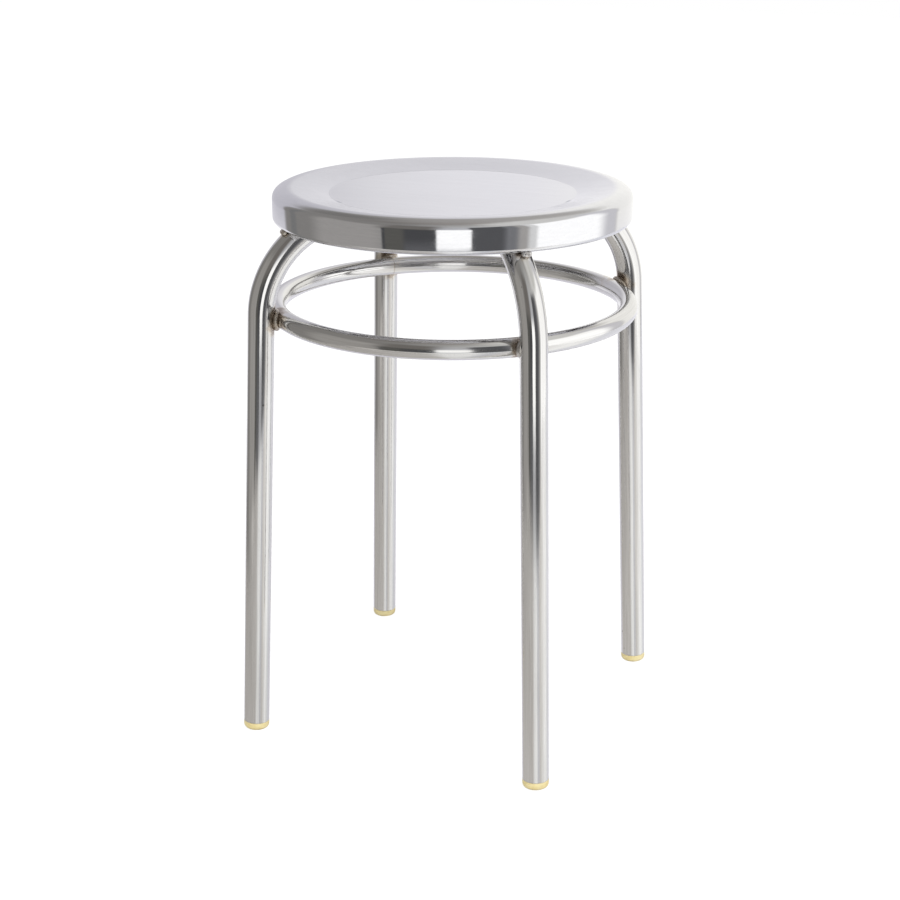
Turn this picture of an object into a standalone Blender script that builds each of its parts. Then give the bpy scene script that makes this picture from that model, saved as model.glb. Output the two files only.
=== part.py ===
"""Stainless steel stool: a dished pressed seat on four bent tube legs, braced by a round tube ring.

Metres, +Z up. The origin is on the floor under the middle of the seat, and the four legs stand on
the diagonals. One corner of the stool is modelled with its leg along +X and then set at each corner.
"""

import math

import bmesh
import bpy
from mathutils import Matrix

# Gap that keeps two pieces that touch, or are welded, apart
CLEARANCE = 0.0003

# Seat pan, pressed from one sheet
SEAT_RADIUS = 0.150
SEAT_HEIGHT = 0.4665
SEAT_SHEET = 0.001
CROWN_RADIUS = 0.020
CROWN_SWEEP = math.radians(30)
RIM_RADIUS = 0.007
SKIRT_DEPTH = 0.0275
HEM_RADIUS = 0.004
DISH_RADIUS = 0.103
DISH_DEPTH = 0.006
DISH_BLEND_RADIUS = 0.025

# Leg tubes
LEG_RADIUS = 0.011
LEG_WALL = 0.0012
LEG_BEND_RADIUS = 0.082
LEG_SPLAY = math.radians(2.7)
LEG_AZIMUTHS = {"front_right": -45, "back_right": 45, "back_left": 135, "front_left": 225}

# Support ring, one tube rolled into a circle and butt welded
RING_TUBE_RADIUS = 0.008
RING_WALL = 0.0012
RING_HEIGHT = 0.3655
RING_SEAM_AZIMUTH = 135.5
SEAM_WELD_WIDTH = 0.0012

# Foot plugs, pressed into the open ends of the legs
PLUG_HEIGHT = 0.0065
PLUG_SOLE_ROUND = 0.0035
PLUG_TOP_ROUND = 0.0006
PLUG_STEM_LENGTH = 0.014
PLUG_STEM_TAPER = 0.0015
PLUG_RIBS = 3
PLUG_RIB_DEPTH = 0.0011

# Weld beads
BEAD_RADIUS = 0.0024
BEAD_BITE = 0.0009
SEAM_BEAD_RADII = (0.0018, 0.0021)
SEAM_BEAD_SWEEP = math.radians(78)
RIM_WELD_LENGTH = 0.009
RIM_WELD_OFFSET = 0.002
SEAT_WELD_LENGTH = 0.026
SEAT_WELD_DISTANCE = 0.062

# Facets
SEAT_STEPS = 56
CROWN_STEPS = 2
RIM_STEPS = 4
HEM_STEPS = 5
LEG_SIDES = 20
BEND_STEPS = 10
RING_SIDES = 12
RING_STEPS = 48
PLUG_STEPS = 16
BEAD_SIDES = 6
LOOP_STEPS = 16
SMOOTH_BELOW = math.radians(40)

# Heights and radii that follow from the sizes above
DISH_FLOOR = SEAT_HEIGHT - DISH_DEPTH
UNDERSIDE = DISH_FLOOR - SEAT_SHEET
RUN_HEIGHT = UNDERSIDE - CLEARANCE - LEG_RADIUS
HEM_CENTRE = (SEAT_RADIUS - HEM_RADIUS, SEAT_HEIGHT - SKIRT_DEPTH + HEM_RADIUS)
BEND_HEIGHT = RUN_HEIGHT - LEG_BEND_RADIUS
HEM_REACH = LEG_BEND_RADIUS + LEG_RADIUS + CLEARANCE + HEM_RADIUS
BEND_CENTRE = (HEM_CENTRE[0] - math.sqrt(HEM_REACH**2 - (HEM_CENTRE[1] - BEND_HEIGHT) ** 2), BEND_HEIGHT)
BEND_FOOT = (
    BEND_CENTRE[0] + LEG_BEND_RADIUS * math.cos(LEG_SPLAY),
    BEND_CENTRE[1] + LEG_BEND_RADIUS * math.sin(LEG_SPLAY),
)
FLOOR_RADIUS = BEND_FOOT[0] + BEND_FOOT[1] * math.tan(LEG_SPLAY)


def arc(centre, radius, start, end, steps):
    """Points on an arc in the XZ plane, both ends included, with angles measured from +X."""
    angles = [start + (end - start) * step / steps for step in range(steps + 1)]
    return [(centre[0] + radius * math.cos(a), centre[1] + radius * math.sin(a)) for a in angles]


def turns(steps, shift=0.0):
    """The azimuths that divide a full turn, moved on by a share of one step."""
    return [2 * math.pi * (i + shift) / steps for i in range(steps)]


def upright(points):
    """Points of the XZ plane as points in space."""
    return [(x, 0.0, z) for x, z in points]


def ring_seat():
    """Where the ring's tube lies against the inner side of a leg along +X.

    Gives the radius of the ring's centre line and the angle at which the line from it to the leg's
    axis rises, which follows the bend where the ring stands that high.
    """
    offset = LEG_RADIUS + RING_TUBE_RADIUS + CLEARANCE
    inside = LEG_BEND_RADIUS - offset
    rise = RING_HEIGHT - BEND_CENTRE[1]
    if rise < inside * math.sin(LEG_SPLAY):
        leg_axis = FLOOR_RADIUS - RING_HEIGHT * math.tan(LEG_SPLAY)
        return leg_axis - offset / math.cos(LEG_SPLAY), LEG_SPLAY
    lean = math.asin(rise / inside)
    return BEND_CENTRE[0] + inside * math.cos(lean), lean


def nest_between(first, first_radius, second, second_radius, bead):
    """The outer lower place where a round bead rests against two circles of the XZ plane."""
    a = first_radius + bead
    b = second_radius + bead
    dx = second[0] - first[0]
    dz = second[1] - first[1]
    span = math.hypot(dx, dz)
    along = (a**2 - b**2 + span**2) / (2 * span)
    aside = math.sqrt(a**2 - along**2)
    return (
        first[0] + (along * dx + aside * dz) / span,
        first[1] + (along * dz - aside * dx) / span,
    )


def material(name, color, roughness, metallic):
    """A Principled material with one colour and finish."""
    made = bpy.data.materials.new(name)
    made.use_nodes = True
    shader = made.node_tree.nodes["Principled BSDF"]
    shader.inputs["Base Color"].default_value = (*color, 1.0)
    shader.inputs["Roughness"].default_value = roughness
    shader.inputs["Metallic"].default_value = metallic
    made.diffuse_color = (*color, 1.0)
    return made


def new_collection(name):
    """A collection linked to the scene."""
    made = bpy.data.collections.new(name)
    bpy.context.scene.collection.children.link(made)
    return made


def mesh_object(name, mesh, collection):
    """An object for the mesh, in the collection."""
    made = bpy.data.objects.new(name, mesh)
    collection.objects.link(made)
    return made


def evaluated_mesh(obj):
    """The object's shape with its modifiers and its place applied, with doubled points merged."""
    bpy.context.view_layer.update()
    graph = bpy.context.evaluated_depsgraph_get()
    mesh = bpy.data.meshes.new_from_object(obj.evaluated_get(graph))
    mesh.transform(obj.matrix_world)
    shape = bmesh.new()
    shape.from_mesh(mesh)
    bmesh.ops.remove_doubles(shape, verts=shape.verts, dist=1e-6)
    shape.to_mesh(mesh)
    shape.free()
    return mesh


def cutter(name, mesh):
    """A helper object, drawn as wire and left out of renders."""
    made = mesh_object(name, mesh, cutters)
    made.display_type = "WIRE"
    made.hide_render = True
    return made


def tube_mesh(name, path, radius, sides, closed=False):
    """A solid round bar along the path."""
    curve = bpy.data.curves.new(name, "CURVE")
    curve.dimensions = "3D"
    curve.bevel_depth = radius
    curve.bevel_resolution = (sides - 4) // 2
    curve.use_fill_caps = not closed
    spline = curve.splines.new("POLY")
    spline.points.add(len(path) - 1)
    for point, place in zip(spline.points, path):
        point.co = (*place, 1.0)
    spline.use_cyclic_u = closed
    guide = mesh_object(f"{name}_guide", curve, cutters)
    mesh = evaluated_mesh(guide)
    mesh.name = name
    bpy.data.objects.remove(guide)
    bpy.data.curves.remove(curve)
    return mesh


def turned_mesh(name, profile, steps):
    """A solid turned about Z from a profile that runs from its top to its bottom."""
    mesh = bpy.data.meshes.new(name)
    mesh.from_pydata(upright(profile), [(i, i + 1) for i in range(len(profile) - 1)], [])
    guide = mesh_object(f"{name}_guide", mesh, cutters)
    add_screw(guide, steps)
    turned = evaluated_mesh(guide)
    turned.name = name
    bpy.data.objects.remove(guide)
    return turned


def add_screw(obj, steps):
    """Turns the object's profile once round Z."""
    screw = obj.modifiers.new("Turn", "SCREW")
    screw.axis = "Z"
    screw.steps = steps
    screw.render_steps = steps
    screw.use_merge_vertices = True
    screw.merge_threshold = 1e-5


def ellipsoid_mesh(name, centre, radii):
    """A round weld bead, drawn out along its longest radius."""
    shape = bmesh.new()
    bmesh.ops.create_uvsphere(shape, u_segments=10, v_segments=6, radius=1.0)
    bmesh.ops.scale(shape, vec=radii, verts=shape.verts)
    bmesh.ops.translate(shape, vec=centre, verts=shape.verts)
    mesh = bpy.data.meshes.new(name)
    shape.to_mesh(mesh)
    shape.free()
    return mesh


def box_mesh(name, low, high):
    """A box between two corners."""
    shape = bmesh.new()
    bmesh.ops.create_cube(shape, size=1.0)
    bmesh.ops.scale(shape, vec=[h - l for l, h in zip(low, high)], verts=shape.verts)
    bmesh.ops.translate(shape, vec=[(h + l) / 2 for l, h in zip(low, high)], verts=shape.verts)
    mesh = bpy.data.meshes.new(name)
    shape.to_mesh(mesh)
    shape.free()
    return mesh


def carved(name, mesh, tools, operation="DIFFERENCE"):
    """The mesh after a Boolean with each tool."""
    blank = mesh_object(f"{name}_blank", mesh, cutters)
    for tool in tools:
        cut = blank.modifiers.new(tool.name, "BOOLEAN")
        cut.operation = operation
        cut.solver = "EXACT"
        cut.object = tool
    result = evaluated_mesh(blank)
    result.name = name
    bpy.data.objects.remove(blank)
    return result


def finish(mesh, finish_material):
    """Gives the mesh its material and smooth round faces."""
    mesh.materials.clear()
    mesh.materials.append(finish_material)
    mesh.shade_smooth()
    mesh.set_sharp_from_angle(angle=SMOOTH_BELOW)
    return mesh


def seat_profile():
    """The upper side of the sheet: the dish, up to the crown, over the rim and round the hem."""
    inset = CROWN_RADIUS - RIM_RADIUS
    middle = SEAT_RADIUS - RIM_RADIUS - inset * math.sin(CROWN_SWEEP)
    crown = (middle, SEAT_HEIGHT - CROWN_RADIUS)
    rim = (SEAT_RADIUS - RIM_RADIUS, crown[1] + inset * math.cos(CROWN_SWEEP))
    across = crown[0] - DISH_RADIUS
    rise = crown[1] - DISH_FLOOR
    slope = math.atan2(rise, across) + math.asin(CROWN_RADIUS / math.hypot(across, rise))
    blend = (DISH_RADIUS - DISH_BLEND_RADIUS * math.tan(slope / 2), DISH_FLOOR + DISH_BLEND_RADIUS)
    outer = math.pi / 2 - CROWN_SWEEP
    profile = [(0.0, DISH_FLOOR)]
    profile += arc(blend, DISH_BLEND_RADIUS, -math.pi / 2, -math.pi / 2 + slope, 2)
    profile.append(arc(crown, CROWN_RADIUS, math.pi / 2 + slope, 0.0, 1)[0])
    profile += arc(crown, CROWN_RADIUS, math.pi / 2, outer, CROWN_STEPS)
    profile += arc(rim, RIM_RADIUS, outer, 0.0, RIM_STEPS)[1:]
    profile += arc(HEM_CENTRE, HEM_RADIUS, 0.0, -math.pi, HEM_STEPS)
    return profile


def make_seat_pan():
    """The pressed seat: dish, rounded rim, skirt and rolled hem, one sheet thick."""
    profile = seat_profile()
    mesh = bpy.data.meshes.new("seat_pan")
    mesh.from_pydata(upright(profile), [(i, i + 1) for i in range(len(profile) - 1)], [])
    pan = mesh_object("seat_pan", mesh, parts)
    mesh.materials.append(steel_seat)
    add_screw(pan, SEAT_STEPS)
    sheet = pan.modifiers.new("Sheet", "SOLIDIFY")
    sheet.thickness = SEAT_SHEET
    sheet.offset = -1.0
    sheet.use_even_offset = True
    return pan


def leg_path(below, beyond):
    """The leg's centre line from below its end up to the run under the seat and past the middle."""
    end = PLUG_HEIGHT + CLEARANCE - below
    start = (FLOOR_RADIUS - end * math.sin(LEG_SPLAY), end * math.cos(LEG_SPLAY))
    bend = arc(BEND_CENTRE, LEG_BEND_RADIUS, LEG_SPLAY, math.pi / 2, BEND_STEPS)
    return upright([start, *bend, (-beyond, RUN_HEIGHT)])


def make_leg_mesh():
    """One leg tube, open at the foot and mitred where the four legs meet."""
    past = 2 * LEG_RADIUS
    outside = tube_mesh("leg", leg_path(0.0, past), LEG_RADIUS, LEG_SIDES)
    bore = cutter("leg_bore", tube_mesh("leg_bore", leg_path(past, 2 * past), LEG_RADIUS - LEG_WALL, LEG_SIDES))
    side = 2 * SEAT_HEIGHT
    quarter = box_mesh("leg_quarter", (0.0, 0.0, -side), (side, side, side))
    quarter.transform(Matrix.Rotation(-math.pi / 4, 4, "Z"))
    quarter.transform(Matrix.Translation((CLEARANCE / math.sqrt(2), 0.0, 0.0)))
    hollow = carved("leg", outside, [bore])
    return finish(carved("leg", hollow, [cutter("leg_quarter", quarter)], "INTERSECT"), steel_tube)


def ring_circle(radius, height, steps):
    """The corners of a closed circle whose sides touch the radius, the middle of one of them at +X."""
    reach = radius / math.cos(math.pi / steps)
    return [(reach * math.cos(a), reach * math.sin(a), height) for a in turns(steps, 0.5)]


def make_ring():
    """The support ring, one tube whose two ends face each other across the butt weld."""
    radius = ring_seat()[0]
    circle = ring_circle(radius, RING_HEIGHT, RING_STEPS)
    gap = SEAM_WELD_WIDTH + 2 * CLEARANCE
    tubes = []
    for label, tube_radius, opening in (
        ("support_ring", RING_TUBE_RADIUS, gap),
        ("ring_bore", RING_TUBE_RADIUS - RING_WALL, gap / 2),
    ):
        ends = [(radius, side * opening / 2, RING_HEIGHT) for side in (1, -1)]
        tubes.append(tube_mesh(label, [ends[0], *circle, ends[1]], tube_radius, RING_SIDES))
    ring = carved("support_ring", tubes[0], [cutter("ring_bore", tubes[1])])
    mesh_object("support_ring", finish(ring, steel_tube), parts).parent = seam_frame


def make_ring_butt_weld():
    """The weld that closes the ring, ground flush with the tube."""
    radius = ring_seat()[0]
    half = SEAM_WELD_WIDTH / 2
    collars = []
    for label, tube_radius, reach in (
        ("ring_butt_weld", RING_TUBE_RADIUS, half),
        ("seam_bore", RING_TUBE_RADIUS - RING_WALL, 2 * half),
    ):
        path = [(radius, side * reach, RING_HEIGHT) for side in (-1, 1)]
        collars.append(tube_mesh(label, path, tube_radius, RING_SIDES))
    collar = carved("ring_butt_weld", collars[0], [cutter("seam_bore", collars[1])])
    mesh_object("ring_butt_weld", finish(collar, steel_weld), parts).parent = seam_frame


def plug_profile():
    """The foot plug's outline from the tip of its stem down to its sole, about the leg's axis."""
    bore = LEG_RADIUS - LEG_WALL
    rib = bore - CLEARANCE
    core = rib - PLUG_RIB_DEPTH
    sole = LEG_RADIUS - PLUG_SOLE_ROUND
    bottom = -LEG_RADIUS * math.sin(LEG_SPLAY)
    tip = PLUG_HEIGHT + PLUG_STEM_LENGTH
    pitch = (PLUG_STEM_LENGTH - PLUG_STEM_TAPER) / (PLUG_RIBS + 0.5)
    profile = [(0.0, tip), (core - PLUG_RIB_DEPTH, tip), (core, tip - PLUG_STEM_TAPER)]
    for i in range(PLUG_RIBS):
        top = tip - PLUG_STEM_TAPER - i * pitch
        profile += [(rib, top - 0.7 * pitch), (core, top - pitch)]
    profile += [(core, PLUG_HEIGHT), (LEG_RADIUS - PLUG_TOP_ROUND, PLUG_HEIGHT), (LEG_RADIUS, PLUG_HEIGHT - PLUG_TOP_ROUND)]
    profile += arc((sole, bottom + PLUG_SOLE_ROUND), PLUG_SOLE_ROUND, 0.0, -math.pi / 2, 3)
    return [*profile, (0.0, bottom)]


def make_plug_mesh():
    """The foot plug, set on the leg's leaning axis and worn flat on the floor."""
    turned = turned_mesh("foot_plug", plug_profile(), PLUG_STEPS)
    turned.transform(Matrix.Rotation(-LEG_SPLAY, 4, "Y"))
    turned.transform(Matrix.Translation((FLOOR_RADIUS, 0.0, 0.0)))
    reach = 2 * LEG_RADIUS
    low = (FLOOR_RADIUS - reach, -reach, -reach)
    floor = box_mesh("floor_cut", low, (FLOOR_RADIUS + reach, reach, 0.0))
    return finish(carved("foot_plug", turned, [cutter("floor_cut", floor)]), plug_plastic)


def make_ring_weld_mesh(leg_room, ring_room):
    """The saddle weld all round the place where the ring's tube lies against a leg."""
    bead = BEAD_RADIUS - BEAD_BITE
    wide = 2 * math.sqrt(LEG_RADIUS * bead)
    high = 2 * math.sqrt(RING_TUBE_RADIUS * bead)
    radius, lean = ring_seat()
    contact = RING_TUBE_RADIUS + CLEARANCE / 2
    loop = []
    for turn in turns(LOOP_STEPS):
        out = contact + bead * math.cos(2 * turn)
        up = high * math.sin(turn)
        x = radius + out * math.cos(lean) - up * math.sin(lean)
        z = RING_HEIGHT + out * math.sin(lean) + up * math.cos(lean)
        loop.append((x, wide * math.cos(turn), z))
    blank = tube_mesh("ring_weld", loop, BEAD_RADIUS, BEAD_SIDES, closed=True)
    return finish(carved("ring_weld", blank, [leg_room, ring_room]), steel_weld)


def make_rim_weld_mesh(leg_room, hem_room):
    """The tack weld where a leg passes the hem, to one side of the leg's middle."""
    bead = BEAD_RADIUS - BEAD_BITE
    leg_reach = LEG_BEND_RADIUS + math.sqrt(LEG_RADIUS**2 - RIM_WELD_OFFSET**2)
    x, z = nest_between(BEND_CENTRE, leg_reach, HEM_CENTRE, HEM_RADIUS, bead)
    radii = (BEAD_RADIUS, RIM_WELD_LENGTH / 2, BEAD_RADIUS)
    blank = ellipsoid_mesh("rim_weld", (x, RIM_WELD_OFFSET, z), radii)
    return finish(carved("rim_weld", blank, [leg_room, hem_room]), steel_weld)


def make_seat_weld_mesh(side, leg_room, seat_room):
    """A stitch weld along one side of a leg's run, in the corner under the seat."""
    bead = BEAD_RADIUS - BEAD_BITE
    aside = 2 * math.sqrt(LEG_RADIUS * bead)
    centre = (SEAT_WELD_DISTANCE, side * aside, UNDERSIDE - bead)
    blank = ellipsoid_mesh("seat_weld", centre, (SEAT_WELD_LENGTH / 2, BEAD_RADIUS, BEAD_RADIUS))
    return finish(carved("seat_weld", blank, [leg_room, seat_room]), steel_weld)


def make_hub_weld():
    """The crossed weld that closes the mitres where the four legs meet under the seat."""
    room = LEG_RADIUS + CLEARANCE
    spread = math.sqrt(2) * LEG_RADIUS
    beads = []
    rooms = []
    for radius, turn in zip(SEAM_BEAD_RADII, (0.0, math.pi / 2)):
        curve = arc((0.0, RUN_HEIGHT), LEG_RADIUS, -math.pi / 2 - SEAM_BEAD_SWEEP, -math.pi / 2 + SEAM_BEAD_SWEEP, 12)
        path = [(x / LEG_RADIUS * spread, 0.0, z) for x, z in curve]
        bead = tube_mesh("hub_bead", path, radius, BEAD_SIDES)
        bead.transform(Matrix.Rotation(turn, 4, "Z"))
        beads.append(bead)
        run = tube_mesh("run_room", [(-2 * spread, 0, RUN_HEIGHT), (2 * spread, 0, RUN_HEIGHT)], room, LEG_SIDES)
        run.transform(Matrix.Rotation(turn + math.pi / 4, 4, "Z"))
        rooms.append(cutter("run_room", run))
    crossed = carved("hub_weld", beads[0], [cutter("hub_bead", beads[1])], "UNION")
    mesh_object("hub_weld", finish(carved("hub_weld", crossed, rooms), steel_weld), parts)


def make_corner_meshes():
    """The meshes of everything that one corner carries, with what each is called."""
    leg_room = cutter("leg_room", tube_mesh("leg_room", leg_path(0.0, 0.0), LEG_RADIUS + CLEARANCE, LEG_SIDES))
    circle = ring_circle(ring_seat()[0], RING_HEIGHT, RING_STEPS)
    ring = tube_mesh("ring_room", circle, RING_TUBE_RADIUS + CLEARANCE, RING_SIDES, closed=True)
    ring.transform(Matrix.Rotation(math.radians(RING_SEAM_AZIMUTH - LEG_AZIMUTHS["back_left"]), 4, "Z"))
    ring_room = cutter("ring_room", ring)
    roll = [(HEM_CENTRE[0] * math.cos(a), HEM_CENTRE[0] * math.sin(a), HEM_CENTRE[1]) for a in turns(SEAT_STEPS)]
    hem = tube_mesh("hem_room", roll, HEM_RADIUS + CLEARANCE, 2 * HEM_STEPS, closed=True)
    hem_room = cutter("hem_room", hem)
    low = (0.0, -SEAT_RADIUS, UNDERSIDE - CLEARANCE)
    seat_room = cutter("seat_room", box_mesh("seat_room", low, (SEAT_RADIUS, SEAT_RADIUS, SEAT_HEIGHT)))
    return {
        "leg_{}": make_leg_mesh(),
        "foot_plug_{}": make_plug_mesh(),
        "ring_weld_{}": make_ring_weld_mesh(leg_room, ring_room),
        "rim_weld_{}": make_rim_weld_mesh(leg_room, hem_room),
        "seat_weld_{}_1": make_seat_weld_mesh(1, leg_room, seat_room),
        "seat_weld_{}_2": make_seat_weld_mesh(-1, leg_room, seat_room),
    }


def make_corners():
    """Sets one leg with its plug and welds at each corner, turned with an empty."""
    meshes = make_corner_meshes()
    for corner, degrees in LEG_AZIMUTHS.items():
        frame = mesh_object(f"{corner}_corner", None, parts)
        frame.rotation_euler = (0.0, 0.0, math.radians(degrees))
        for name, mesh in meshes.items():
            mesh_object(name.format(corner), mesh, parts).parent = frame


for existing in list(bpy.data.objects):
    bpy.data.objects.remove(existing)
parts = new_collection("stainless_steel_stool")
cutters = new_collection("cutters")
steel_seat = material("seat_steel", (0.72, 0.72, 0.73), 0.12, 1.0)
steel_tube = material("tube_steel", (0.68, 0.67, 0.66), 0.18, 1.0)
steel_weld = material("weld_steel", (0.58, 0.54, 0.50), 0.35, 1.0)
plug_plastic = material("plug_plastic", (0.82, 0.71, 0.38), 0.45, 0.0)

seam_frame = mesh_object("ring_frame", None, parts)
seam_frame.rotation_euler = (0.0, 0.0, math.radians(RING_SEAM_AZIMUTH))

make_seat_pan()
make_corners()
make_ring()
make_ring_butt_weld()
make_hub_weld()
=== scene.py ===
"""Dresses the stainless steel stool in the photograph's view.

The seat pan, legs, support ring, weld beads and foot plugs are remade as smooth meshes in the
places that their solids hold. Polished steel shows what stands round it, so the studio has a
surround that only reflections see, beside the plain white backdrop and floor that the camera sees.
"""

import logging
import math
from collections.abc import Sequence
from dataclasses import dataclass, field
from enum import Enum

import bmesh
import bpy
from bmesh.types import BMEdge, BMesh, BMVert
from bpy.types import Material, Node, NodeSocket, NodeTree, Object, World
from mathutils import Matrix, Vector

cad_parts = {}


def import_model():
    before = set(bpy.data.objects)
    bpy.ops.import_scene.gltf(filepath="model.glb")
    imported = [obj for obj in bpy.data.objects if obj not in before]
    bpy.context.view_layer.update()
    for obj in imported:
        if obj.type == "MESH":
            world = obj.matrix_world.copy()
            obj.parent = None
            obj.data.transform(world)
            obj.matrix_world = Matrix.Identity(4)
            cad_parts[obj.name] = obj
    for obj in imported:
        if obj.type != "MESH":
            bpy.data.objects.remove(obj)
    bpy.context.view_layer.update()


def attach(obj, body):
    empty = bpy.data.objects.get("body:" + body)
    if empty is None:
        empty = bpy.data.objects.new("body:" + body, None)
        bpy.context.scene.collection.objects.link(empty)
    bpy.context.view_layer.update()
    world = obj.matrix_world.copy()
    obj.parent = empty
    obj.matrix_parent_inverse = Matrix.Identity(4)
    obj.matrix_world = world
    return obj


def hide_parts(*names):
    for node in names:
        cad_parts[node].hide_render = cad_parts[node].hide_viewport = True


log = logging.getLogger("stool")

Color = tuple[float, float, float]
Place = tuple[float, float, float]
Point = tuple[float, float]
Value = NodeSocket | float | Sequence[float]

STEEL_SHARE = 0.70
STRAIGHTENED = "straightened"
CORNERS = {"front_right": -45, "back_right": 45, "back_left": 135, "front_left": 225}


class Slot(Enum):
    """The names of four material slots."""

    SEAT = "seat"
    TUBE = "tube"
    WELD = "weld"
    PLUG = "plug"


class Ends(Enum):
    """How a swept bar ends."""

    OPEN = "open"
    CAPPED = "capped"
    JOINED = "joined"


# Mesh tools


@dataclass(frozen=True)
class Station:
    """One round section of a swept bar.

    Attributes:
        place: The section's centre.
        along: The direction in which the bar runs there.
        side: A direction that fixes how the section is turned.
        radius: The section's radius.
    """

    place: Vector
    along: Vector
    side: Vector
    radius: float

    def matrix(self) -> Matrix:
        """The section's frame, scaled by its radius."""
        forward = self.along.normalized()
        across = (self.side - forward * self.side.dot(forward)).normalized()
        up = forward.cross(across)
        turned = Matrix((across, up, forward)).transposed().to_4x4()
        scaled = Matrix.Diagonal((self.radius, self.radius, self.radius, 1.0))
        return Matrix.Translation(self.place) @ turned @ scaled


def arc(centre: Point, radius: float, start: float, end: float, steps: int) -> list[Point]:
    """Points on an arc in the XZ plane.

    Args:
        centre: The arc's centre.
        radius: The arc's radius.
        start: The first angle, from +X, in radians.
        end: The last angle.
        steps: The number of steps between them.

    Returns:
        The points, both ends included.
    """
    angles = [start + (end - start) * step / steps for step in range(steps + 1)]
    return [(centre[0] + radius * math.cos(a), centre[1] + radius * math.sin(a)) for a in angles]


def sweep(stations: Sequence[Station], sides: int, ends: Ends = Ends.OPEN) -> BMesh:
    """Extrudes a circle through the stations.

    Each vertex also stores where it would lie if the bar were straight, for patterns that
    follow it.

    Args:
        stations: The sections, in order.
        sides: The number of sides of each section.
        ends: How the bar ends.

    Returns:
        The swept shape.
    """
    bm = bmesh.new()
    layer = bm.verts.layers.float_vector.new(STRAIGHTENED)
    before = stations[0].matrix()
    bmesh.ops.create_circle(bm, cap_ends=False, radius=1.0, segments=sides, matrix=before)
    start = loop = list(bm.edges)
    local = before.inverted()
    for vert in bm.verts:
        x, y, _ = local @ vert.co
        vert[layer] = (x * stations[0].radius, y * stations[0].radius, 0.0)
    travelled = 0.0
    for last, station in zip(stations, stations[1:]):
        travelled += (station.place - last.place).length
        grown = bmesh.ops.extrude_edge_only(bm, edges=loop)["geom"]
        verts = [item for item in grown if isinstance(item, BMVert)]
        loop = [item for item in grown if isinstance(item, BMEdge) and item.is_boundary]
        after = station.matrix()
        bmesh.ops.transform(bm, matrix=after @ before.inverted(), verts=verts)
        for vert in verts:
            x, y, _ = vert[layer]
            vert[layer] = (x, y, travelled)
        before = after
    if ends is Ends.JOINED:
        bmesh.ops.bridge_loops(bm, edges=loop + start)
    elif ends is Ends.CAPPED:
        bmesh.ops.contextual_create(bm, geom=loop)
        bmesh.ops.contextual_create(bm, geom=start)
    bmesh.ops.recalc_face_normals(bm, faces=bm.faces)
    return bm


def turn(profile: Sequence[Point], steps: int) -> BMesh:
    """Spins a profile of the XZ plane once round Z.

    Args:
        profile: The profile's points, from one end to the other.
        steps: The number of steps in the full turn.

    Returns:
        The turned shape, with its faces made consistent.
    """
    bm = bmesh.new()
    verts = [bm.verts.new((x, 0.0, z)) for x, z in profile]
    edges = [bm.edges.new(pair) for pair in zip(verts, verts[1:])]
    once = {"cent": (0, 0, 0), "axis": (0, 0, 1), "angle": 2 * math.pi, "steps": steps}
    bmesh.ops.spin(bm, geom=verts + edges, use_merge=True, **once)
    bmesh.ops.remove_doubles(bm, verts=bm.verts, dist=1e-7)
    bmesh.ops.recalc_face_normals(bm, faces=bm.faces)
    return bm


def rotate(bm: BMesh, degrees: float, axis: str = "Z") -> BMesh:
    """Turns a shape about an axis through the origin.

    Args:
        bm: The shape.
        degrees: The angle.
        axis: The axis.

    Returns:
        The same shape.
    """
    turned = Matrix.Rotation(math.radians(degrees), 3, axis)
    bmesh.ops.rotate(bm, verts=bm.verts, cent=(0, 0, 0), matrix=turned)
    return bm


def cut(bm: BMesh, place: Sequence[float], outward: Sequence[float]) -> list[BMEdge]:
    """Cuts off the part of a shape that lies beyond a plane.

    Args:
        bm: The shape.
        place: A point of the plane.
        outward: The direction in which the part to remove lies.

    Returns:
        The edges along the cut.
    """
    plane = {"plane_co": place, "plane_no": outward, "clear_outer": True}
    made = bmesh.ops.bisect_plane(bm, geom=[*bm.verts, *bm.edges, *bm.faces], **plane)
    return [item for item in made["geom_cut"] if isinstance(item, BMEdge)]


def mesh_object(name: str, bm: BMesh, material: Material) -> Object:
    """Puts a shape into the scene.

    Args:
        name: The object's name.
        bm: The shape, which is freed.
        material: Its material.

    Returns:
        The new object.
    """
    mesh = bpy.data.meshes.new(name)
    bm.to_mesh(mesh)
    bm.free()
    mesh.materials.append(material)
    made = bpy.data.objects.new(name, mesh)
    bpy.context.scene.collection.objects.link(made)
    return made


def make_piece(
    node: str, bm: BMesh, material: Material, sharp: float = 50.0, wall: float = 0.0
) -> None:
    """Makes a piece of the stool and puts it in place of its solid.

    Args:
        node: The solid's node.
        bm: The piece's shape, which is freed.
        material: The piece's material.
        sharp: The angle in degrees above which an edge stays sharp.
        wall: The thickness that an open skin gets on its inner side, or 0 for a closed shape.
    """
    for edge in bm.edges:
        edge.smooth = not edge.is_boundary and edge.calc_face_angle(0.0) < math.radians(sharp)
    for face in bm.faces:
        face.smooth = True
    piece = mesh_object(f"{node}_skin", bm, material)
    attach(piece, "root")
    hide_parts(node)
    log.info("%s: %d faces", piece.name, len(piece.data.polygons))
    if wall:
        made = piece.modifiers.new("wall", "SOLIDIFY")
        made.thickness = wall
        made.offset = -1.0
        made.use_even_offset = True


# Node tools


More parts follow.
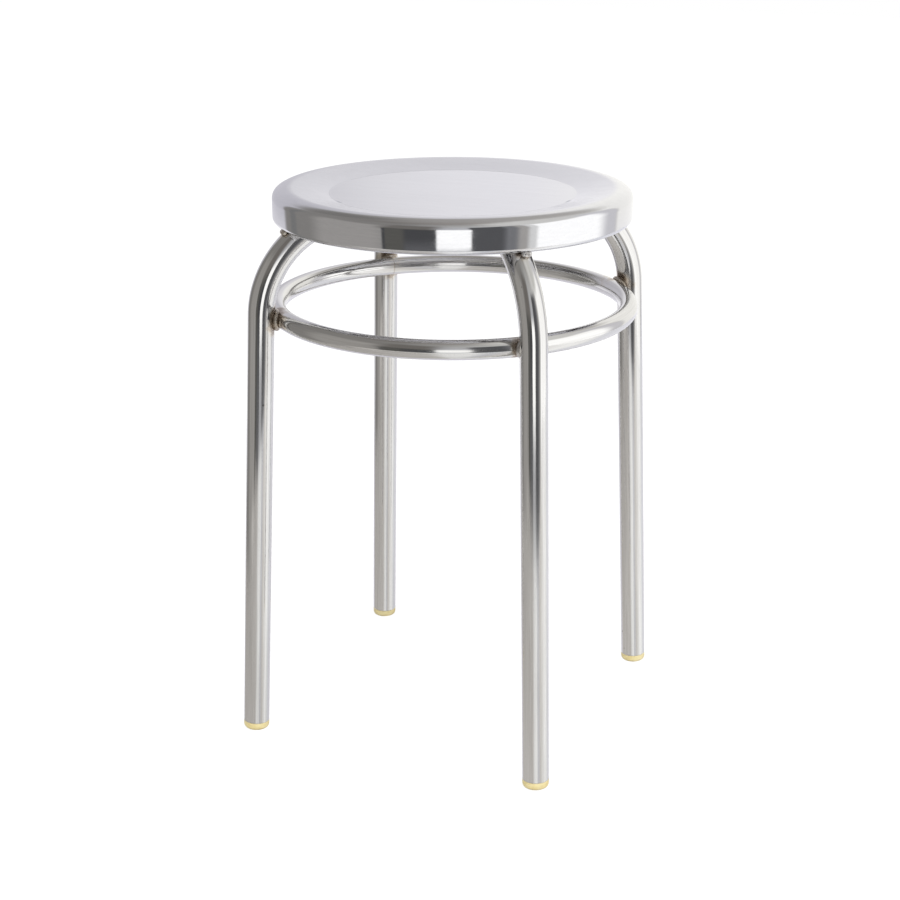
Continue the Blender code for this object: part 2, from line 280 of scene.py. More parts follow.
class Tree:
    """A node tree that is built by short calls."""

    def __init__(self, tree: NodeTree) -> None:
        """Takes the tree to build in."""
        self.tree = tree

    def put(self, value: Value, socket: NodeSocket) -> None:
        """Links a socket to an input, or sets a plain value there.

        Args:
            value: The socket, or the value. A colour may leave out its alpha.
            socket: The input.
        """
        if isinstance(value, NodeSocket):
            self.tree.links.new(value, socket)
        elif socket.type == "RGBA" and len(value) == 3:
            socket.default_value = (*value, 1.0)
        else:
            socket.default_value = value

    def feed(self, node: Node, **inputs: Value) -> Node:
        """Puts values into a node's inputs.

        Args:
            node: The node.
            **inputs: The values by input, with underscores for spaces.

        Returns:
            The same node.
        """
        for name, value in inputs.items():
            self.put(value, node.inputs[name.replace("_", " ")])
        return node

    def node(self, kind: str, *values: Value, given: dict | None = None, **inputs: Value) -> Node:
        """Adds a node.

        Args:
            kind: The node's type, without its ShaderNode prefix, or a group node's full type.
            *values: What its first inputs get.
            given: Properties of the node itself.
            **inputs: What other inputs get, with underscores for spaces.

        Returns:
            The node.
        """
        made = self.tree.nodes.new(kind if kind.startswith("Node") else f"ShaderNode{kind}")
        for name, value in (given or {}).items():
            setattr(made, name, value)
        for value, socket in zip(values, made.inputs):
            self.put(value, socket)
        return self.feed(made, **inputs)

    def math(self, operation: str, *values: Value) -> NodeSocket:
        """Adds a Math node and gives its result."""
        return self.node("Math", *values, given={"operation": operation}).outputs[0]

    def vector(self, operation: str, *values: Value) -> NodeSocket:
        """Adds a Vector Math node and gives its result, a number for a length or a distance."""
        made = self.node("VectorMath", *values, given={"operation": operation})
        return made.outputs["Value" if operation in ("LENGTH", "DISTANCE") else "Vector"]

    def fit(
        self, value: Value, low: float, high: float, to_low: float = 0.0, to_high: float = 1.0
    ) -> NodeSocket:
        """Maps a value smoothly from the range low to high onto the range to_low to to_high."""
        smooth = {"interpolation_type": "SMOOTHSTEP"}
        return self.node("MapRange", value, low, high, to_low, to_high, given=smooth).outputs[0]

    def mix(self, factor: Value, first: Value, second: Value, blend: str = "MIX") -> NodeSocket:
        """Mixes two colours.

        Args:
            factor: The share of the second.
            first: The first colour.
            second: The second colour.
            blend: The way in which they mix.

        Returns:
            The colour's socket.
        """
        made = self.node("Mix", given={"data_type": "RGBA", "blend_type": blend})
        for index, value in ((0, factor), (6, first), (7, second)):
            self.put(value, made.inputs[index])
        return made.outputs[2]

    def ramp(self, factor: NodeSocket, stops: Sequence[tuple[float, Color]]) -> NodeSocket:
        """Adds a Color Ramp.

        Args:
            factor: The value that the ramp reads.
            stops: Places and colours, in order.

        Returns:
            The colour's socket.
        """
        made = self.node("ValToRGB", factor)
        elements = made.color_ramp.elements
        elements.remove(elements[-1])
        for i, (place, color) in enumerate(stops):
            element = elements.new(place) if i else elements[0]
            element.position = place
            element.color = (*color, 1.0)
        return made.outputs["Color"]

    def place(self) -> NodeSocket:
        """The Object coordinates."""
        return self.node("TexCoord").outputs["Object"]

    def split(self, place: NodeSocket) -> Sequence[NodeSocket]:
        """The three parts of a vector."""
        return tuple(self.node("SeparateXYZ", place).outputs)

    def noise(
        self, place: NodeSocket, scale: float, detail: float = 3.0, roughness: float = 0.5
    ) -> NodeSocket:
        """Adds a Noise Texture and gives its value."""
        values = {"Scale": scale, "Detail": detail, "Roughness": roughness}
        return self.node("TexNoise", place, **values).outputs[0]

    def bump(self, size: Point, height: NodeSocket, **under: Value) -> NodeSocket:
        """Adds a Bump node of a strength and a distance, which may lie on a Normal under it."""
        values = {"Strength": size[0], "Distance": size[1], "Height": height}
        return self.node("Bump", **values, **under).outputs[0]

    def group(self, group: NodeTree, **inputs: Value) -> bpy.types.NodeOutputs:
        """Places a node group, feeds its inputs and gives its outputs."""
        return self.node("Group", given={"node_tree": group}, **inputs).outputs


def cleared(owner: Material | World) -> Tree:
    """Gives a material or a world an empty node tree.

    Args:
        owner: The material or the world.

    Returns:
        The tree.
    """
    owner.use_nodes = True
    owner.node_tree.nodes.clear()
    return Tree(owner.node_tree)


def new_group(
    name: str, inputs: dict[str, float | Sequence[float]], outputs: Sequence[str]
) -> tuple[Tree, bpy.types.NodeOutputs, Node]:
    """Starts a shader node group.

    Args:
        name: The group's name.
        inputs: The plain value of each input, a number or a vector.
        outputs: The names of the outputs, which are all numbers.

    Returns:
        The tree, the sockets that give its inputs and its output node.
    """
    group = bpy.data.node_groups.new(name, "ShaderNodeTree")
    for label, value in inputs.items():
        kind = "NodeSocketFloat" if isinstance(value, float) else "NodeSocketVector"
        socket = group.interface.new_socket(label, in_out="INPUT", socket_type=kind)
        socket.default_value = value
    for label in outputs:
        group.interface.new_socket(label, in_out="OUTPUT", socket_type="NodeSocketFloat")
    tree = Tree(group)
    return tree, tree.node("NodeGroupInput").outputs, tree.node("NodeGroupOutput")


@dataclass(frozen=True)
class Effects:
    """The node groups that the finishes share.

    Attributes:
        marks: Fine lines that a polishing wheel leaves, with broad soft smears between them.
        tint: How strongly a weld's heat has coloured the steel, from 1 at the weld to 0.
        specks: Small scattered pits and spots of dirt.
    """

    marks: NodeTree
    tint: NodeTree
    specks: NodeTree

    @classmethod
    def made(cls) -> "Effects":
        """Builds each group once."""
        return cls(cls.polishing_marks(), cls.heat_tint(), cls.dirt_specks())

    @staticmethod
    def polishing_marks() -> NodeTree:
        """Builds the marks, with Height, Tone and Roughness outputs from 0 to 1."""
        smear_stretch = (0.12, 0.12, 0.5)
        line_share, smear_share = 0.6, 0.4
        low, high = 0.3, 0.7
        inputs = {"Vector": (0, 0, 0), "Stretch": (900, 900, 12)}
        tree, given, out = new_group("polishing marks", inputs, ("Height", "Tone", "Roughness"))
        scaled = tree.vector("MULTIPLY", given["Vector"], given["Stretch"])
        lines = tree.noise(scaled, 1.0, roughness=0.6)
        smears = tree.noise(tree.vector("MULTIPLY", scaled, smear_stretch), 1.0, 2.0)
        share = tree.math("MULTIPLY", lines, line_share)
        tone = tree.math("ADD", share, tree.math("MULTIPLY", smears, smear_share))
        streaks, dull = tree.fit(tone, low, high), tree.fit(smears, low, high)
        tree.feed(out, Height=lines, Tone=streaks, Roughness=dull)
        return tree.tree

    @staticmethod
    def heat_tint() -> NodeTree:
        """Builds the heat tint, whose edge is uneven."""
        wobble_scale, wobble = 180.0, 0.5
        full_share = 0.25
        inputs = {"Vector": (0, 0, 0), "Weld": (0, 0, 0), "Reach": 0.02}
        tree, given, out = new_group("heat tint", inputs, ("Mask",))
        noise = tree.math("SUBTRACT", tree.noise(given["Vector"], wobble_scale, 2.0), 0.5)
        away = tree.vector("DISTANCE", given["Vector"], given["Weld"])
        share = tree.math("DIVIDE", away, given["Reach"])
        uneven = tree.math("ADD", share, tree.math("MULTIPLY", noise, wobble))
        tree.feed(out, Mask=tree.fit(uneven, full_share, 1.0, 1.0, 0.0))
        return tree.tree

    @staticmethod
    def dirt_specks() -> NodeTree:
        """Builds the specks, which lie in some of the cells of a Voronoi pattern."""
        bare_share = 0.72
        inputs = {"Vector": (0, 0, 0), "Scale": 60.0, "Size": 0.06}
        tree, given, out = new_group("specks", inputs, ("Mask",))
        cells = tree.node("TexVoronoi", Vector=given["Vector"], Scale=given["Scale"]).outputs
        chance = tree.node("SeparateColor", cells["Color"]).outputs[0]
        chosen = tree.math("GREATER_THAN", chance, bare_share)
        near = tree.math("LESS_THAN", cells["Distance"], given["Size"])
        tree.feed(out, Mask=tree.math("MULTIPLY", chosen, near))
        return tree.tree


# Finishes


def start_material(name: str) -> tuple[Material, Tree, Node]:
    """Starts a material with a Principled shader.

    Args:
        name: The material's name.

    Returns:
        The material, its tree and its shader.
    """
    made = bpy.data.materials.new(name)
    made.use_nodes = True
    return made, Tree(made.node_tree), made.node_tree.nodes["Principled BSDF"]


@dataclass(frozen=True)
class SeatSteel:
    """Pressed sheet, brightest on the skirt, satin in the dish and dull on its underside, with dark
    reflections painted into its colour at two places of the crease.
    """

    color: Color = (0.70, 0.70, 0.715)
    mark_color: Color = (0.60, 0.60, 0.62)
    mark_share: float = 0.35
    mark_stretch: Place = (60.0, 900.0, 900.0)
    mark_bump: Point = (0.02, 0.0002)
    skirt_roughness: float = 0.05
    dish_roughness: float = 0.13
    under_roughness: float = 0.34
    uneven: float = 0.03
    skirt_top: Point = (0.4595, 0.4635)
    under_radius: Point = (0.1485, 0.1491)
    under_height: Point = (0.4597, 0.4603)
    wave_scale: float = 9.0
    wave_bump: Point = (0.04, 0.01)
    crease_radius: float = 0.103
    crease_width: float = 0.0007
    crease_bump: Point = (0.35, 0.0003)
    # Painted reflection: the colour, strength, azimuths, length and width of dark bluish glints that
    # are painted on the crease.
    crease_glint_color: Color = (0.22, 0.24, 0.29)
    crease_glint_share: float = 0.75
    crease_glint_azimuths: tuple[float, ...] = (-130.0, -1.0)
    crease_glint_length: Point = (0.002, 0.0075)
    crease_glint_width: float = 0.00168
    dish_floor: float = 0.46

    def painted_crease_glints(self, tree: Tree, place: NodeSocket, aside: NodeSocket) -> NodeSocket:
        """Painted reflections: the dark glints that are painted into the colour at two places of the
        crease.

        Args:
            tree: The material's tree.
            place: The Object coordinates.
            aside: The distance from the crease.

        Returns:
            Their mask.
        """
        near: Value = 0.0
        for degrees in self.crease_glint_azimuths:
            turned, radius = math.radians(degrees), self.crease_radius
            spot = (radius * math.cos(turned), radius * math.sin(turned), self.dish_floor)
            away = tree.vector("DISTANCE", place, spot)
            near = tree.math("MAXIMUM", near, tree.fit(away, *self.crease_glint_length, 1.0, 0.0))
        in_crease = tree.fit(aside, self.crease_width, self.crease_glint_width, self.crease_glint_share, 0.0)
        return tree.math("MULTIPLY", near, in_crease)

    def material(self, effects: Effects) -> Material:
        """Builds the material.

        Args:
            effects: The shared node groups.

        Returns:
            The material.
        """
        made, tree, shader = start_material("polished seat sheet")
        place = tree.place()
        height = tree.split(place)[2]
        out = tree.vector("LENGTH", tree.vector("MULTIPLY", place, (1.0, 1.0, 0.0)))
        aside = tree.math("ABSOLUTE", tree.math("SUBTRACT", out, self.crease_radius))
        marks = tree.group(effects.marks, Vector=place, Stretch=self.mark_stretch)
        streaks = tree.math("MULTIPLY", marks["Tone"], self.mark_share)
        color = tree.mix(streaks, self.color, self.mark_color)
        # Painted reflection: the dark glints on the crease are painted into the colour.
        color = tree.mix(self.painted_crease_glints(tree, place, aside), color, self.crease_glint_color)
        base = tree.fit(height, *self.skirt_top, self.skirt_roughness, self.dish_roughness)
        within = tree.fit(out, *self.under_radius, self.under_roughness, 0.0)
        under = tree.math("MULTIPLY", within, tree.fit(height, *self.under_height, 1.0, 0.0))
        uneven = tree.math("MULTIPLY", marks["Roughness"], self.uneven)
        rough = tree.math("ADD", tree.math("MAXIMUM", base, under), uneven)
        crease = tree.bump(self.crease_bump, tree.fit(aside, 0.0, self.crease_width))
        waves = tree.noise(place, self.wave_scale, roughness=0.35)
        wavy = tree.bump(self.wave_bump, waves, Normal=crease)
        fine = tree.bump(self.mark_bump, marks["Height"], Normal=wavy)
        tree.feed(shader, Metallic=1.0, Base_Color=color, Roughness=rough, Normal=fine)
        return made


@dataclass(frozen=True)
class TubeSteel:
    """Polished tube, with lines along it, heat tint beside its welds and a duller lower end.

    Attributes:
        welds: Each weld's place, folded into the positive quarter, and the reach of its heat.
        across: How far wheel marks across the tube spread its highlights, from 0 to 1.
    """

    name: str
    welds: tuple[tuple[float, ...], ...]
    color: Color = (0.715, 0.71, 0.705)
    streak_color: Color = (0.56, 0.55, 0.535)
    streak_share: float = 0.65
    streak_stretch: Place = (1000.0, 1000.0, 16.0)
    streak_bump: Point = (0.04, 0.0002)
    straw: Color = (0.60, 0.53, 0.43)
    straw_heat: tuple[float, ...] = (0.05, 0.45, 0.0, 0.6)
    brown: Color = (0.32, 0.27, 0.23)
    brown_heat: tuple[float, ...] = (0.24, 0.7, 0.0, 0.9)
    heat_roughness: float = 0.15
    polished: float = 0.06
    dull: float = 0.11
    dull_heights: Point = (0.12, 0.32)
    uneven: float = 0.06
    speck_color: Color = (0.16, 0.14, 0.12)
    speck_scale: float = 55.0
    speck_size: float = 0.05
    speck_share: float = 0.6
    wave_stretch: Place = (60.0, 60.0, 14.0)
    wave_bump: Point = (0.06, 0.002)
    across: float = 0.0

    def material(self, effects: Effects) -> Material:
        """Builds the material.

        Args:
            effects: The shared node groups.

        Returns:
            The material.
        """
        made, tree, shader = start_material(self.name)
        place = tree.place()
        folded = tree.vector("ABSOLUTE", place)
        along = tree.node("Attribute", given={"attribute_name": STRAIGHTENED}).outputs["Vector"]
        marks = tree.group(effects.marks, Vector=along, Stretch=self.streak_stretch)
        streaks = tree.math("MULTIPLY", marks["Tone"], self.streak_share)
        color = tree.mix(streaks, self.color, self.streak_color)
        heat: Value = 0.0
        for *weld, reach in self.welds:
            mask = tree.group(effects.tint, Vector=folded, Weld=weld, Reach=reach)["Mask"]
            heat = tree.math("MAXIMUM", heat, mask)
        color = tree.mix(tree.fit(heat, *self.straw_heat), color, self.straw)
        color = tree.mix(tree.fit(heat, *self.brown_heat), color, self.brown)
        dirt = {"Scale": self.speck_scale, "Size": self.speck_size}
        specks = tree.group(effects.specks, Vector=place, **dirt)["Mask"]
        color = tree.mix(tree.math("MULTIPLY", specks, self.speck_share), color, self.speck_color)
        base = tree.fit(tree.split(place)[2], *self.dull_heights, self.dull, self.polished)
        uneven = tree.math("MULTIPLY", marks["Roughness"], self.uneven)
        burnt = tree.math("MULTIPLY", heat, self.heat_roughness)
        rough = tree.math("ADD", tree.math("ADD", base, uneven), burnt)
        waves = tree.noise(tree.vector("MULTIPLY", along, self.wave_stretch), 1.0, 1.0)
        wavy = tree.bump(self.wave_bump, waves)
        fine = tree.bump(self.streak_bump, marks["Height"], Normal=wavy)
        tree.feed(shader, Metallic=1.0, Base_Color=color, Roughness=rough, Normal=fine)
        if self.across:
            round_z = tree.node("Tangent", given={"direction_type": "RADIAL", "axis": "Z"})
            tree.feed(shader, Anisotropic=self.across, Tangent=round_z.outputs[0])
        return made


@dataclass(frozen=True)
class WeldSteel:
    """A brushed weld bead, unevenly burnt and tinted by its heat."""

    name: str = "weld bead"
    bright: Color = (0.60, 0.55, 0.48)
    burnt: Color = (0.38, 0.33, 0.27)
    violet: Color = (0.45, 0.41, 0.39)
    burn_scale: float = 260.0
    burnt_from: Point = (0.35, 0.62)
    grain_scale: float = 1400.0
    grain_bump: Point = (0.2, 0.0002)
    violet_grain: tuple[float, ...] = (0.5, 0.75, 0.0, 0.5)
    speck_scale: float = 700.0
    speck_size: float = 0.2
    speck_share: float = 0.5
    roughness: tuple[float, ...] = (0.3, 0.7, 0.22, 0.38)

    def material(self, effects: Effects) -> Material:
        """Builds the material.

        Args:
            effects: The shared node groups.

        Returns:
            The material.
        """
        made, tree, shader = start_material(self.name)
        place = tree.place()
        broad = tree.noise(place, self.burn_scale)
        grain = tree.noise(place, self.grain_scale)
        color = tree.mix(tree.fit(broad, *self.burnt_from), self.bright, self.burnt)
        color = tree.mix(tree.fit(grain, *self.violet_grain), color, self.violet)
        dirt = {"Scale": self.speck_scale, "Size": self.speck_size}
        specks = tree.group(effects.specks, Vector=place, **dirt)["Mask"]
        color = tree.mix(tree.math("MULTIPLY", specks, self.speck_share), color, self.burnt)
        rough = tree.fit(broad, *self.roughness)
        bumpy = tree.bump(self.grain_bump, grain)
        tree.feed(shader, Metallic=1.0, Base_Color=color, Roughness=rough, Normal=bumpy)
        return made


@dataclass(frozen=True)
class PlugPlastic:
    """Pale yellow moulded plastic, scuffed and darker towards the floor."""

    color: Color = (0.88, 0.76, 0.42)
    aged: Color = (0.80, 0.66, 0.31)
    scuffed: Color = (0.45, 0.36, 0.17)
    scuff_height: float = 0.0025
    scuff_share: float = 0.75
    scuff_cloud: Point = (0.3, 0.6)
    cloud_scale: float = 140.0
    aged_cloud: Point = (0.35, 0.7)
    grain_scale: float = 2600.0
    grain_bump: Point = (0.25, 0.0002)
    speck_scale: float = 420.0
    speck_size: float = 0.12
    speck_share: float = 0.4
    roughness: tuple[float, ...] = (0.3, 0.7, 0.36, 0.55)
    gloss: float = 0.4

    def material(self, effects: Effects) -> Material:
        """Builds the material.

        Args:
            effects: The shared node groups.

        Returns:
            The material.
        """
        made, tree, shader = start_material("foot plug plastic")
        place = tree.place()
        cloud = tree.noise(place, self.cloud_scale)
        color = tree.mix(tree.fit(cloud, *self.aged_cloud), self.color, self.aged)
        low = tree.fit(tree.split(place)[2], 0.0, self.scuff_height, self.scuff_share, 0.0)
        worn = tree.math("MULTIPLY", low, tree.fit(cloud, *self.scuff_cloud))
        color = tree.mix(worn, color, self.scuffed)
        dirt = {"Scale": self.speck_scale, "Size": self.speck_size}
        specks = tree.group(effects.specks, Vector=place, **dirt)["Mask"]
        color = tree.mix(tree.math("MULTIPLY", specks, self.speck_share), color, self.scuffed)
        rough = tree.fit(cloud, *self.roughness)
        bumpy = tree.bump(self.grain_bump, tree.noise(place, self.grain_scale, 2.0))
        tree.feed(shader, Base_Color=color, Roughness=rough, Normal=bumpy)
        tree.feed(shader, Specular_IOR_Level=self.gloss)
        return made


# The stool


@dataclass
class SeatPan:
    """The pressed seat: dish, rounded rim, skirt and rolled hem."""

    radius: float = 0.150
    height: float = 0.4665
    sheet: float = 0.001
    crown_radius: float = 0.020
    crown_sweep: float = math.radians(30)
    rim_radius: float = 0.007
    skirt_depth: float = 0.0275
    hem_radius: float = 0.004
    dish_radius: float = 0.103
    dish_depth: float = 0.006
    blend_radius: float = 0.025
    flat_rings: tuple[float, ...] = (0.0, 0.004, 0.05)
    blend_steps: int = 8
    crown_steps: int = 12
    rim_steps: int = 14
    hem_steps: int = 18
    steps: int = 256

    @property
    def floor(self) -> float:
        """The height of the dish's flat middle."""
        return self.height - self.dish_depth

    @property
    def hem_centre(self) -> Point:
        """The centre of the rolled hem's section."""
        return (self.radius - self.hem_radius, self.height - self.skirt_depth + self.hem_radius)

    def profile(self) -> list[Point]:
        """The upper side of the sheet, from the middle to the end of the hem."""
        inset = self.crown_radius - self.rim_radius
        edge = self.radius - self.rim_radius
        crown = (edge - inset * math.sin(self.crown_sweep), self.height - self.crown_radius)
        rim = (edge, crown[1] + inset * math.cos(self.crown_sweep))
        across = crown[0] - self.dish_radius
        rise = crown[1] - self.floor
        slope = math.atan2(rise, across) + math.asin(self.crown_radius / math.hypot(across, rise))
        start = self.dish_radius - self.blend_radius * math.tan(slope / 2)
        blend = (start, self.floor + self.blend_radius)
        up, outer = math.pi / 2, math.pi / 2 - self.crown_sweep
        points = [(radius, self.floor) for radius in self.flat_rings]
        points += arc(blend, self.blend_radius, -up, slope - up, self.blend_steps)
        points += arc(crown, self.crown_radius, up + slope, outer, self.crown_steps)
        points += arc(rim, self.rim_radius, outer, 0.0, self.rim_steps)[1:]
        return points + arc(self.hem_centre, self.hem_radius, 0.0, -math.pi, self.hem_steps)

    def build(self, material: Material) -> None:
        """Makes the pan.

        Args:
            material: The pan's material.
        """
        bm = turn(self.profile(), self.steps)
        middle = min(bm.faces, key=lambda face: face.calc_center_median().to_2d().length)
        if middle.normal.z < 0:
            bmesh.ops.reverse_faces(bm, faces=bm.faces)
        make_piece("seat_pan", bm, material, 60.0, self.sheet)


@dataclass
class Legs:
    """Four tubes, splayed at the floor and bent in under the seat to a mitred cross."""

    seat: SeatPan
    radius: float = 0.011
    wall: float = 0.0012
    bend_radius: float = 0.082
    splay_degrees: float = 2.7
    clearance: float = 0.0003
    plug_height: float = 0.0065
    past_middle: float = 0.022
    sides: int = 48
    straight_steps: int = 12
    bend_steps: int = 40
    run_steps: int = 4

    @property
    def splay(self) -> float:
        """The lean of the straight part, in radians."""
        return math.radians(self.splay_degrees)

    @property
    def run_height(self) -> float:
        """The height of the centre line of the run under the seat."""
        return self.seat.floor - self.seat.sheet - self.clearance - self.radius

    @property
    def bend_centre(self) -> Point:
        """The centre of the bend."""
        x, z = self.seat.hem_centre
        height = self.run_height - self.bend_radius
        reach = self.bend_radius + self.radius + self.clearance + self.seat.hem_radius
        return (x - math.sqrt(reach**2 - (z - height) ** 2), height)

    @property
    def bend_foot(self) -> Point:
        """The lower end of the bend."""
        x, z = self.bend_centre
        radius = self.bend_radius
        return (x + radius * math.cos(self.splay), z + radius * math.sin(self.splay))

    @property
    def floor_radius(self) -> float:
        """How far from the middle the centre line meets the floor."""
        return self.bend_foot[0] + self.bend_foot[1] * math.tan(self.splay)

    def stations(self) -> list[Station]:
        """The sections of one leg along +X, from its foot past the middle."""
        end = self.plug_height + self.clearance
        x, z = self.floor_radius - end * math.sin(self.splay), end * math.cos(self.splay)
        dx, dz = self.bend_foot[0] - x, self.bend_foot[1] - z
        count = self.straight_steps
        rising = [(x + dx * i / count, z + dz * i / count) for i in range(count)]
        bend = arc(self.bend_centre, self.bend_radius, self.splay, math.pi / 2, self.bend_steps)
        shares = [i / self.run_steps for i in range(1, self.run_steps + 1)]
        inner, past = bend[-1][0], self.past_middle
        run = [(inner * (1 - share) - past * share, self.run_height) for share in shares]
        points = [Vector((x, 0.0, z)) for x, z in [*rising, *bend, *run]]
        ahead = [*points[1:], points[-1] + Vector((-1, 0, 0))]
        behind = [points[0] - (points[1] - points[0]), *points[:-1]]
        side = Vector((0, 1, 0))
        return [Station(p, b - a, side, self.radius) for p, a, b in zip(points, behind, ahead)]

    def build(self, material: Material) -> None:
        """Makes the four legs.

        Args:
            material: The legs' material.
        """
        edge = Vector((self.clearance / math.sqrt(2), 0.0, 0.0))
        for corner, degrees in CORNERS.items():
            bm = sweep(self.stations(), self.sides)
            for side in (1, -1):
                cut(bm, edge, Vector((-1, side, 0)).normalized())
            leg = rotate(bm, degrees)
            make_piece(f"leg_{corner}", leg, material, wall=self.wall)


@dataclass
class SupportRing:
    """The ring inside the legs, one tube closed by a butt weld."""

    legs: Legs
    tube_radius: float = 0.008
    wall: float = 0.0012
    height: float = 0.3655
    seam_azimuth: float = 135.5
    seam_gap: float = 0.0006
    seam_overlap: float = 1.2
    seam_sunk: float = 0.00006
    seam_crown: float = 0.00008
    seam_sections: tuple[float, ...] = (-1.0, -0.6, 0.0, 0.6, 1.0)
    steps: int = 288
    sides: int = 36

    @property
    def radius(self) -> float:
        """The radius at which the tube lies against the inner side of each leg."""
        offset = self.legs.radius + self.tube_radius + self.legs.clearance
        axis = self.legs.floor_radius - self.height * math.tan(self.legs.splay)
        return axis - offset / math.cos(self.legs.splay)

    def section(self, azimuth: float, radius: float) -> Station:
        """A section of the ring.

        Args:
            azimuth: Its azimuth in radians.
            radius: The section's radius.

        Returns:
            The section.
        """
        out = Vector((math.cos(azimuth), math.sin(azimuth), 0.0))
        ahead = Vector((-out.y, out.x, 0.0))
        return Station(out * self.radius + Vector((0, 0, self.height)), ahead, out, radius)

    def build(self, tube: Material, weld: Material) -> None:
        """Makes the ring and its butt weld.

        Args:
            tube: The tube's material.
            weld: The weld's material.
        """
        seam = math.radians(self.seam_azimuth)
        half = self.seam_gap / 2 / self.radius
        start, full = seam + half, 2 * math.pi - 2 * half
        turns = [start + full * i / self.steps for i in range(self.steps + 1)]
        bar = sweep([self.section(angle, self.tube_radius) for angle in turns], self.sides)
        make_piece("support_ring", bar, tube, wall=self.wall)
        low, over = self.tube_radius - self.seam_sunk, half * self.seam_overlap
        collar = [
            self.section(seam + share * over, low + self.seam_crown * (1 - share**2))
            for share in self.seam_sections
        ]
        bead = sweep(collar, self.sides)
        make_piece("ring_butt_weld", bead, weld, wall=self.wall)


@dataclass
class FootPlugs:
    """Plastic plugs in the legs' open ends, worn flat on the floor."""

    legs: Legs
    sole_round: float = 0.0035
    top_round: float = 0.0006
    stem_length: float = 0.014
    stem_taper: float = 0.0015
    ribs: int = 3
    rib_depth: float = 0.0011
    rib_share: float = 0.7
    top_steps: int = 5
    sole_steps: int = 12
    steps: int = 64

    def profile(self) -> list[Point]:
        """The plug's outline about the leg's axis, from the tip of its stem to its sole."""
        height = self.legs.plug_height
        rib = self.legs.radius - self.legs.wall - self.legs.clearance
        core = rib - self.rib_depth
        flange = self.legs.radius
        bottom = -flange * math.sin(self.legs.splay)
        tip = height + self.stem_length
        pitch = (self.stem_length - self.stem_taper) / (self.ribs + 0.5)
        points = [(0.0, tip), (core - self.rib_depth, tip), (core, tip - self.stem_taper)]
        for i in range(self.ribs):
            top = tip - self.stem_taper - i * pitch
            points += [(rib, top - self.rib_share * pitch), (core, top - pitch)]
        points += [(core, height)]
        shoulder = (flange - self.top_round, height - self.top_round)
        points += arc(shoulder, self.top_round, math.pi / 2, 0.0, self.top_steps)
        sole = (flange - self.sole_round, bottom + self.sole_round)
        points += arc(sole, self.sole_round, 0.0, -math.pi / 2, self.sole_steps)
        return [*points, (0.0, bottom)]

    def build(self, material: Material) -> None:
        """Makes the four plugs.

        Args:
            material: The plugs' material.
        """
        for corner, degrees in CORNERS.items():
            bm = rotate(turn(self.profile(), self.steps), -self.legs.splay_degrees, "Y")
            bmesh.ops.translate(bm, verts=bm.verts, vec=(self.legs.floor_radius, 0, 0))
            worn = cut(bm, (0, 0, 0), (0, 0, -1))
            bmesh.ops.contextual_create(bm, geom=worn)
            bmesh.ops.recalc_face_normals(bm, faces=bm.faces)
            plug = rotate(bm, degrees)
            make_piece(f"foot_plug_{corner}", plug, material, 40.0)


